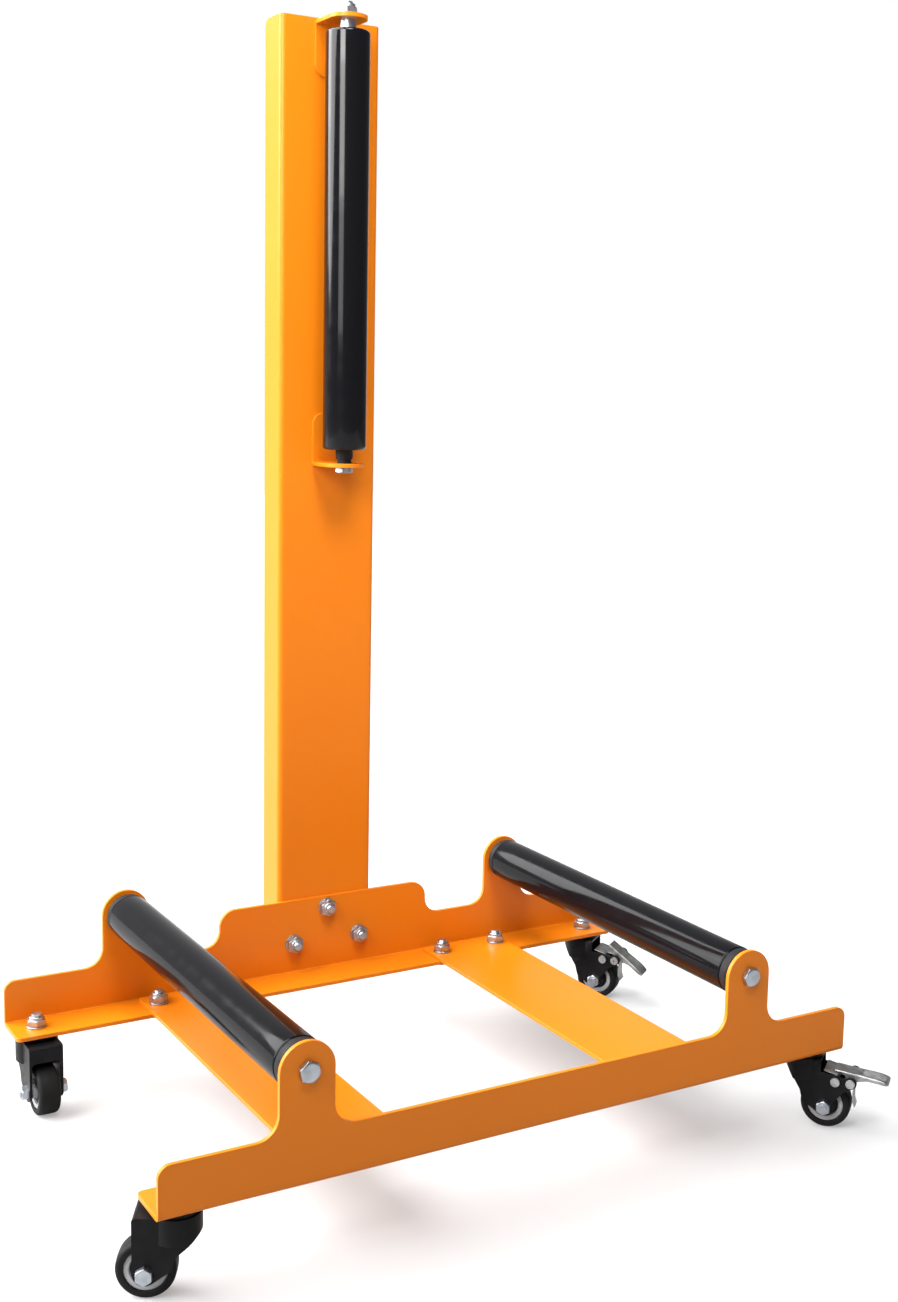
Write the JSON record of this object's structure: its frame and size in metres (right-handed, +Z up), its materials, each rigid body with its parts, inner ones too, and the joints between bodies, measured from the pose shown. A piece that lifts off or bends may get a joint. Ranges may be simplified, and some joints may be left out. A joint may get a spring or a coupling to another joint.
{
  "type": "wheel dolly",
  "caption": "Low rolling frame with idler rollers that cradle an upright wheel and tyre, a mast with a guide roller, and swivel casters.",
  "frame": {"origin": "on the floor, below the middle of the two rails", "axes": "+X along the rails towards the braked casters, +Y from the front rail towards the mast, +Z up"},
  "size_m": [0.7755, 0.5396, 1.1191],
  "materials": {
    "orange_powder_coat": "semi-gloss powder coat with fine orange peel",
    "zinc_fastener": "bright zinc plate",
    "black_caster_steel": "black painted pressed steel",
    "bearing_steel": "ground bearing steel",
    "black_sleeve": "blackened steel sleeve",
    "gloss_black_roller": "glossy black coated tube",
    "matte_black_cap": "matt black moulded plastic",
    "black_tread": "black moulded tread",
    "grey_rim": "grey moulded rim",
    "pressed_steel_pedal": "plain pressed steel with a dull zinc coat",
    "spring_steel": "spring steel strip",
    "rivet_steel": "zinc plated rivets"
  },
  "bodies": {
    "chassis": {"front_rail": "orange_powder_coat", "rear_rail": "orange_powder_coat", "left_cross_plate": "orange_powder_coat", "right_cross_plate": "orange_powder_coat", "mast": "orange_powder_coat", "upper_roller_bracket": "orange_powder_coat", "lower_roller_bracket": "orange_powder_coat", "cross_plate_bolts": "zinc_fastener", "cross_plate_nuts": "zinc_fastener", "cross_plate_washers": "zinc_fastener", "mast_bolts": "zinc_fastener", "mast_nuts": "zinc_fastener", "mast_washers": "zinc_fastener", "caster_stems": "zinc_fastener", "caster_stem_nuts": "zinc_fastener", "caster_stem_washers": "zinc_fastener", "roller_shaft_bolts": "zinc_fastener", "mast_roller_bolt": "zinc_fastener", "mast_roller_collar": "zinc_fastener", "caster_top_races": "black_caster_steel", "caster_swivel_balls": "bearing_steel", "roller_inner_rings": "bearing_steel", "left_roller_shaft": "bearing_steel", "right_roller_shaft": "bearing_steel", "mast_roller_sleeve": "black_sleeve"},
    "left_roller": {"left_roller_tube": "gloss_black_roller", "left_roller_end_caps": "matte_black_cap", "left_roller_bearing_rings": "bearing_steel", "left_roller_bearing_balls": "bearing_steel"},
    "right_roller": {"right_roller_tube": "gloss_black_roller", "right_roller_end_caps": "matte_black_cap", "right_roller_bearing_rings": "bearing_steel", "right_roller_bearing_balls": "bearing_steel"},
    "mast_roller": {"mast_roller_tube": "gloss_black_roller", "mast_roller_end_caps": "matte_black_cap", "mast_roller_bearing_rings": "bearing_steel", "mast_roller_bearing_balls": "bearing_steel"},
    "front_left_swivel": {"front_left_fork": "black_caster_steel", "front_left_axle": "zinc_fastener"},
    "front_left_wheel": {"front_left_wheel_tread": "black_tread", "front_left_wheel_rim": "grey_rim"},
    "front_right_swivel": {"front_right_fork": "black_caster_steel", "front_right_axle": "zinc_fastener", "front_right_brake_shoe": "spring_steel", "front_right_brake_rivets": "rivet_steel"},
    "front_right_wheel": {"front_right_wheel_tread": "black_tread", "front_right_wheel_rim": "grey_rim"},
    "front_right_pedal": {"front_right_brake_pedal": "pressed_steel_pedal"},
    "rear_left_swivel": {"rear_left_fork": "black_caster_steel", "rear_left_axle": "zinc_fastener"},
    "rear_left_wheel": {"rear_left_wheel_tread": "black_tread", "rear_left_wheel_rim": "grey_rim"},
    "rear_right_swivel": {"rear_right_fork": "black_caster_steel", "rear_right_axle": "zinc_fastener", "rear_right_brake_shoe": "spring_steel", "rear_right_brake_rivets": "rivet_steel"},
    "rear_right_wheel": {"rear_right_wheel_tread": "black_tread", "rear_right_wheel_rim": "grey_rim"},
    "rear_right_pedal": {"rear_right_brake_pedal": "pressed_steel_pedal"}
  },
  "joints": [
    {"name": "left_roller_spin", "type": "hinge", "parent": "chassis", "child": "left_roller", "pos_m": [-0.232, 0, 0.1785], "axis": [0, 1, 0], "continuous": true},
    {"name": "right_roller_spin", "type": "hinge", "parent": "chassis", "child": "right_roller", "pos_m": [0.232, 0, 0.1785], "axis": [0, 1, 0], "continuous": true},
    {"name": "mast_roller_spin", "type": "hinge", "parent": "chassis", "child": "mast_roller", "pos_m": [0, 0.188, 0.877], "axis": [0, 0, 1], "continuous": true},
    {"name": "front_left_caster_swivel", "type": "hinge", "parent": "chassis", "child": "front_left_swivel", "pos_m": [-0.3345, -0.2, 0.078], "axis": [0, 0, 1], "continuous": true},
    {"name": "front_left_wheel_spin", "type": "hinge", "parent": "front_left_swivel", "child": "front_left_wheel", "pos_m": [-0.35569, -0.18873, 0.025], "axis": [-0.4695, -0.8829, 0], "continuous": true},
    {"name": "front_right_caster_swivel", "type": "hinge", "parent": "chassis", "child": "front_right_swivel", "pos_m": [0.3345, -0.2, 0.078], "axis": [0, 0, 1], "continuous": true},
    {"name": "front_right_wheel_spin", "type": "hinge", "parent": "front_right_swivel", "child": "front_right_wheel", "pos_m": [0.34928, -0.21891, 0.025], "axis": [0.788, 0.6157, 0], "continuous": true},
    {"name": "front_right_brake_pedal_hinge", "type": "hinge", "parent": "front_right_swivel", "child": "front_right_pedal", "pos_m": [0.36467, -0.23861, 0.053], "axis": [0.788, 0.6157, 0], "range_deg": [0, 29]},
    {"name": "rear_left_caster_swivel", "type": "hinge", "parent": "chassis", "child": "rear_left_swivel", "pos_m": [-0.3345, 0.2, 0.078], "axis": [0, 0, 1], "continuous": true},
    {"name": "rear_left_wheel_spin", "type": "hinge", "parent": "rear_left_swivel", "child": "rear_left_wheel", "pos_m": [-0.3345, 0.176, 0.025], "axis": [1, 0, 0], "continuous": true},
    {"name": "rear_right_caster_swivel", "type": "hinge", "parent": "chassis", "child": "rear_right_swivel", "pos_m": [0.3345, 0.2, 0.078], "axis": [0, 0, 1], "continuous": true},
    {"name": "rear_right_wheel_spin", "type": "hinge", "parent": "rear_right_swivel", "child": "rear_right_wheel", "pos_m": [0.34861, 0.18058, 0.025], "axis": [0.809, 0.5878, 0], "continuous": true},
    {"name": "rear_right_brake_pedal_hinge", "type": "hinge", "parent": "rear_right_swivel", "child": "rear_right_pedal", "pos_m": [0.3633, 0.16036, 0.053], "axis": [0.809, 0.5878, 0], "range_deg": [-29, 0]}
  ]
}
